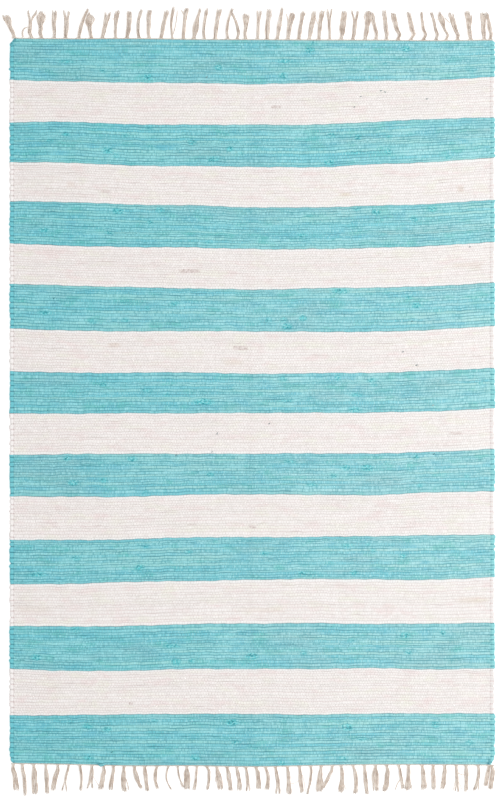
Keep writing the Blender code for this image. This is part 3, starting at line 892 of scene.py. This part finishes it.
def tubes(paths, radii, sides):
    # Round tubes along many paths at once: paths is tubes x points x 3, radii tubes x points. The
    # ring at each point stands square to the path, and turns from sideways to upward. Gives the
    # points, the quads and the two ends as arrays of point numbers, and the map.
    along = np.gradient(paths, axis=1)
    along /= np.linalg.norm(along, axis=2, keepdims=True)
    sideways = np.cross(along, (0.0, 0.0, 1.0))
    sideways /= np.maximum(np.linalg.norm(sideways, axis=2, keepdims=True), 1e-9)
    upward = np.cross(sideways, along)
    turn = np.linspace(0, 2 * np.pi, sides, endpoint=False)[:, None]
    ring = sideways[:, :, None, :] * np.cos(turn) + upward[:, :, None, :] * np.sin(turn)
    points = paths[:, :, None, :] + ring * radii[:, :, None, None]
    count, steps = paths.shape[:2]
    number = np.arange(count * steps * sides).reshape(count, steps, sides)
    after = np.roll(number, -1, axis=2)
    quads = np.stack([number[:, :-1], number[:, 1:], after[:, 1:], after[:, :-1]], -1).reshape(-1, 4)
    ends = np.concatenate([number[:, 0, :], number[:, -1, ::-1]])
    far = np.cumsum(np.linalg.norm(np.diff(paths, axis=1, prepend=paths[:, :1]), axis=2), axis=1)
    uv = np.stack(np.broadcast_arrays(turn[:, 0] / (2 * np.pi), far[:, :, None]), -1)
    return points.reshape(-1, 3), (quads, ends), uv.reshape(-1, 2)


def stripEdge(end, x):
    # the edge of the twined strip that lies along the cloth's end
    line = lineHeights[0] if end > 0 else lineHeights[-1]
    return across(line, x) + end * fringe["parting"]


def bulbAt(tassel):
    # how much the tip is a round bulb: where it is wider than the tassel, and isn't splayed
    return smooth(*fringe["bulb"], tassel["tipWidth"] / tassel["width"]) * (tassel["fork"] >= 0)


def tasselAt(end, tassel, out):
    # Its middle at out, which is 0 at the strip and 1 at the tip: a parabola through the root, the
    # place half-way and the tip, and a bell curve for the swing. Then half its width, by smooth
    # steps from the root to the width half-way and to that of the tip, where it narrows again.
    bow, tip, width = tassel["bow"], tassel["tip"], tassel["width"]
    bell = np.exp(-((out - fringe["swingAt"]) / fringe["swingOver"]) ** 2) * smooth(0, 0.12, out)
    middle = tassel["root"] + (4 * bow - tip) * out + 2 * (tip - 2 * bow) * out ** 2
    middle = middle + tassel["swing"] * bell
    narrow = np.minimum(fringe["root"][end], 0.45 * width)
    half = narrow + (width / 2 - narrow) * smooth(*fringe["toHalfWidth"], out)
    half = half + (tassel["tipWidth"] - width) / 2 * smooth(*fringe["toTipWidth"], out)
    full = fringe["full"] + fringe["fullerTip"] * smooth(0.4, 0.8, out)
    closes = fringe["closes"] + fringe["bulbCloses"] * bulbAt(tassel)
    return middle, half * full * (1 - closes * smooth(*fringe["closing"], out))


def forkShift(tassel, place, half, out):
    # past half-way each half of a forked tassel moves over to its own tip
    apart = np.maximum(tassel["fork"] - half, 0)
    return np.sign(place) * apart / 2 * smooth(*fringe["forking"], out) ** 1.2


def path(x, y, z):
    return np.stack(np.broadcast_arrays(x, y, z), -1)


def tasselYarns(end, tassel, random):
    # The yarns of a tassel come from the strip and lie side by side in three layers. Each strays
    # a little from its place on a sine, and they part to the two tips where the tassel forks.
    count = round(max(tassel["width"], tassel["tipWidth"]) / mm * fringe["yarnsEach"])
    count = int(np.clip(count, fringe["fewest"], fringe["most"]))
    share = np.linspace(0, 1, fringe["steps"])[None, :]
    out = np.clip((share - fringe["gather"]) / (1 - fringe["gather"]), 0, 1)
    place = ((np.arange(count) + 0.5) / count * 2 - 1)[:, None]
    place = place + random.uniform(-fringe["uneven"], fringe["uneven"], (count, 1))
    phase = out * random.uniform(*fringe["wavesEach"], (count, 1)) + random.random((count, 1))
    middle, half = tasselAt(end, tassel, out)
    half = np.maximum(half - fringe["yarn"], fringe["thinnest"])
    sideways = (place + fringe["wavy"] * np.sin(2 * np.pi * phase) * smooth(0, 0.2, out)) * half
    sideways = sideways + forkShift(tassel, place, half, out)
    tipStray = random.normal(0, fringe["tipStray"], (count, 1))
    sideways = sideways + tipStray * smooth(*fringe["loosening"], out) ** 2
    fan = fringe["fan"] * place * (1 - smooth(0, fringe["gather"] * 1.6, share)) ** 1.5
    longer = random.uniform(*fringe["lengths"], (count, 1))
    longer = longer - fringe["bulbRound"] * bulbAt(tassel) * place ** 2
    inStrip = np.clip(share / fringe["gather"], 0, 1)
    inside = fringe["inside"]
    farOut = inside + (fringe["strip"] - inside) * inStrip + tassel["length"] * longer * out
    y = stripEdge(end, tassel["root"]) + end * farOut
    layer = random.permutation(np.arange(count) % 3)[:, None] + 0.3 * np.cos(2 * np.pi * phase)
    z = fringe["yarn"] * 1.1 + fringe["layer"] * (layer + 0.3) * (1 - 0.6 * smooth(0.3, 0.95, out))
    z = z + fringe["dip"] * (1 - inStrip) + tassel["lift"] * smooth(*fringe["lifting"], out)
    radius = fringe["yarn"] * (1 - 0.5 * smooth(*fringe["closing"], share)) * np.ones((count, 1))
    return path(middle + sideways + fan, y, z), radius


def tipHairs(end, tassel, random):
    # thin plies that have come loose at the tip: straight lines that spread from inside the tassel
    count = fringe["hairs"]
    start = random.uniform(*fringe["hairFrom"], (count, 1))
    stop = random.uniform(*fringe["hairTo"], (count, 1))
    out = start + (stop - start) * np.linspace(0, 1, fringe["hairSteps"])
    spread = random.uniform(-1, 1, (count, 1))
    middle, half = tasselAt(end, tassel, out)
    side = spread * half + forkShift(tassel, spread, half, out)
    x = middle + side + spread * fringe["hairSpread"] * smooth(0.8, 1.1, out)
    y = stripEdge(end, tassel["root"]) + end * (fringe["strip"] + tassel["length"] * out)
    z = fringe["hairLow"] + random.uniform(0, fringe["hairHigh"], (count, 1)) + tassel["lift"]
    return path(x, y, z), fringe["hair"] * (1.2 - smooth(0.7, 1.05, out))


def strayYarns(end, row):
    # loose yarns along a quadratic curve from one place by way of another to the last
    x0, y0, x1, y1, x2, y2, count = row
    share = np.linspace(0, 1, fringe["steps"])
    weights = np.stack([(1 - share) ** 2, 2 * share * (1 - share), share ** 2])
    x = np.array([x0, x1, x2]) @ weights * mm
    out = np.array([y0, y1, y2]) @ weights * mm
    apart = (np.arange(count)[:, None] - (count - 1) / 2) * fringe["strayApart"]
    z = fringe["strayUp"] + fringe["strayLayer"] * (np.arange(count)[:, None] % 2)
    y = stripEdge(end, x0 * mm) + end * (fringe["strip"] + out)
    radius = fringe["yarn"] * (1 - 0.45 * smooth(0.8, 1, share))
    return path(x + apart, y, z), np.broadcast_to(radius, (count, len(share)))


def stripStrands(end, tassels):
    # two strands that twine about each other along the cloth's end, from 1 mm before the first
    # tassel to 2 mm past the last
    first, last = (tassels[0][0] - 1) * mm, (tassels[-1][0] + 2) * mm
    x = np.arange(first, last, fringe["twineStep"])
    turn = 2 * np.pi * x / fringe["twinePitch"] + np.array([[0], [np.pi]])
    y = stripEdge(end, x) + end * (fringe["strip"] / 2 + fringe["twineAcross"] * np.cos(turn))
    z = fringe["twineMiddle"] + fringe["twineUp"] * np.sin(turn)
    return path(x, y, z), np.full(turn.shape, fringe["strand"])


def tipLifts(tassels):
    # a tassel whose tip comes to lie on its neighbour's is lifted by a neighbour's thickness
    tips = np.array([row[0] + row[2] for row in tassels])
    widths = np.array([row[5] for row in tassels])
    meets = np.diff(tips) < fringe["overlap"] * (widths[1:] + widths[:-1]) / 2
    return np.append(meets, False) * 2 * fringe["layer"]


def makeYarnPiece(name, groups, tones, node, material):
    # groups of tubes as one piece, each group, or each of its points, with its tone
    points, faces, uv, tone, start = [], [], [], [], 0
    for (groupPoints, numbers, groupUv), groupTone in zip(groups, tones):
        points.append(groupPoints)
        uv.append(groupUv)
        tone.append(np.broadcast_to(groupTone, len(groupPoints)))
        faces += [face for part in numbers for face in (part + start).tolist()]
        start += len(groupPoints)
    piece = makeObject(name, np.concatenate(points) + shift, faces, material, np.concatenate(uv),
                       {"tone": np.concatenate(tone)})
    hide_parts(node)
    return piece


# The two ends: on which side of the cloth each is, how much longer and fuller its tassels are
# than in the table, and the seed of its random draws.
fringeEnds = {
    "far": {"end": 1, "tassels": farTassels, "strays": farStrays, "longer": 1.0, "fuller": 1.0,
            "seed": 11},
    "near": {"end": -1, "tassels": nearTassels, "strays": nearStrays, "longer": 0.985, "fuller": 0.99,
             "seed": 12},
}


def makeFringe(side, material):
    # the whole fringe of one end: the yarns of its tassels, their hairs and the twined strip
    end, tassels, strays, longer, fuller, seed = fringeEnds[side].values()
    random = np.random.default_rng(seed)
    rows = np.array([(*row, 0, 0)[:8] for row in tassels]) * (1, 1, 1, longer, fuller, fuller, 1, 1)
    named = [dict(zip(tasselParts, row * mm), lift=lift) for row, lift in zip(rows, tipLifts(tassels))]
    yarns = [tasselYarns(end, tassel, random) for tassel in named]
    yarns += [strayYarns(end, row) for row in strays]
    hairs = [tipHairs(end, tassel, random) for tassel in named]
    parts = ((yarns, fringe["sides"]), (hairs, fringe["hairSides"]),
             ([stripStrands(end, tassels)], fringe["strandSides"]))
    groups = [tubes(*(np.concatenate(part) for part in zip(*made)), sides) for made, sides in parts]
    # the twined strip gets tone 1, which paints it lighter against the shade beside the cloth's end
    return makeYarnPiece(f"fringe_{side}", groups, (0.0, 0.0, 1.0), f"fringe_{side}_end", material)


warpLook = {
    "colours": {
        "base": (238, 223, 210), "dark": (204, 186, 171), "light": (249, 240, 230),
        "strip": (250, 243, 234), "teal": (34, 112, 124),
    },
    # laid on in this order: what decides where, its values where the colour starts and where it is
    # full, the colour and its share
    "layers": (
        ("blotch", 0.35, 0.68, "light", 0.8), ("blotch", 0.55, 0.30, "dark", 0.55),
        # the dark along the plies is painted shade in the groove between the two plies
        ("ply", 0.2, -1.0, "dark", 0.3), ("speck", 0.7, 0.3, "dark", 0.15),
        # tone 1, on the strands of the twined strip, paints them lighter against the shade beside the
        # cloth's end; tone below 0 makes a thread end teal
        ("tone", 0.0, 1.0, "strip", 0.7), ("tone", 0.0, -1.0, "teal", 1.0),
    ),
    "ply": 0.004,  # length of one turn of the two plies
    "blotch": (70.0, 3), "speck": (900.0, 2),  # cells of noise in a metre, and its detail
    "speckHeight": 0.4,  # against the plies', in the relief
    "bump": {"Distance": 0.0003, "Strength": 0.7},
}


def warpFinish():
    # cotton yarn: two plies wind round it, with painted shade between them, and its colour is uneven
    wire = Wiring("beige warp yarn")
    shade = shadesOf(warpLook)
    u, v = wire.uv()
    ply = wire.math("SINE", u * (4 * np.pi) + v * (2 * np.pi / warpLook["ply"]))
    place = wire.add("TexCoord", {}, "Object")
    fields = {name: wire.noise(place, *warpLook[name]) for name in ("blotch", "speck")}
    fields.update(ply=ply, tone=wire.attribute("tone"))
    colour = shade["base"]
    for name, start, full, over, most in warpLook["layers"]:
        colour = wire.lay(colour, shade[over], fields[name], start, full, most)
    return wire.finish(colour, fields["speck"] * warpLook["speckHeight"] + ply, warpLook["bump"])


# Ends of thread that stand out of the cloth: x and y, how far each runs in x and in y, its tone.
threadEnds = (
    (43, -53, 3, 3, -1.0), (-86, -77, 1, 6, -0.8), (320, 772, 4, 2, -1.0), (330, 769, 4, -2, -0.9),
    (270, 758, 3, 2, -0.8), (434, 752, 4, 1, -0.9), (254, 732, 3, 3, -0.9), (374, 125, 4, 2, -0.8),
    (449, -7, 4, 3, 0.3), (-188, -131, 2, 6, -0.7), (540, 385, 3, 3, -0.8), (-99, -123, 3, 3, -0.8),
    (-347, -867, 5, 4, -1.0), (-491, 258, 4, 3, -1.0), (-459, -138, 5, 3, -1.0), (404, -136, 5, 3, -1.0),
    (451, -128, 4, 3, -1.0), (397, 201, 5, 2, -1.0), (408, 92, 5, 3, -1.0), (-112, 806, 4, 4, -0.6),
)
# Each is a tube of this radius, arched so high, with its ends sunk so far below a rib's crest.
threadEnd = {"radius": 0.0006, "arch": 0.0012, "sunk": 0.0002, "steps": 7, "sides": 5}


def makeThreadEnds(material):
    # each a thin arched tube: a parabola that rises from between the ribs and comes down on one
    share = np.linspace(0, 1, threadEnd["steps"])
    table = np.array(threadEnds)
    x = (table[:, :1] + table[:, 2:3] * (share - 0.5)) * mm
    y = (table[:, 1:2] + table[:, 3:4] * (share - 0.5) ** 2 * np.sign(share - 0.5) * 2) * mm
    z = weave["top"]["crest"] - threadEnd["sunk"] + threadEnd["arch"] * 4 * share * (1 - share)
    radii = threadEnd["radius"] * (1 - 0.4 * smooth(0.6, 1, share)) + 0 * x
    group = tubes(path(x, y, z), radii, threadEnd["sides"])
    tone = np.repeat(table[:, 4], threadEnd["steps"] * threadEnd["sides"])
    return makeYarnPiece("loose_thread_ends", [group], (tone,), "woven_rag_cloth", material)


yarnFinish = warpFinish()
farFringe, nearFringe = (makeFringe(side, yarnFinish) for side in ("far", "near"))
looseEnds = makeThreadEnds(yarnFinish)
say("fringes and loose ends")

for number, piece in enumerate(bandPieces):
    height = float((grooves[linePicks[number]] - grooves[linePicks[number + 1]]).mean())
    carried = {0: [farFringe], 8: [looseEnds], len(bandPieces) - 1: [nearFringe]}.get(number, [])
    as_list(carried)

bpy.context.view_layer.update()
triangles = {piece.name: sum(len(face.vertices) - 2 for face in piece.data.polygons)
             for piece in (*bandPieces, farFringe, nearFringe, looseEnds)}
say(f"{sum(triangles.values())} triangles, at most {max(triangles.values())} in one piece")
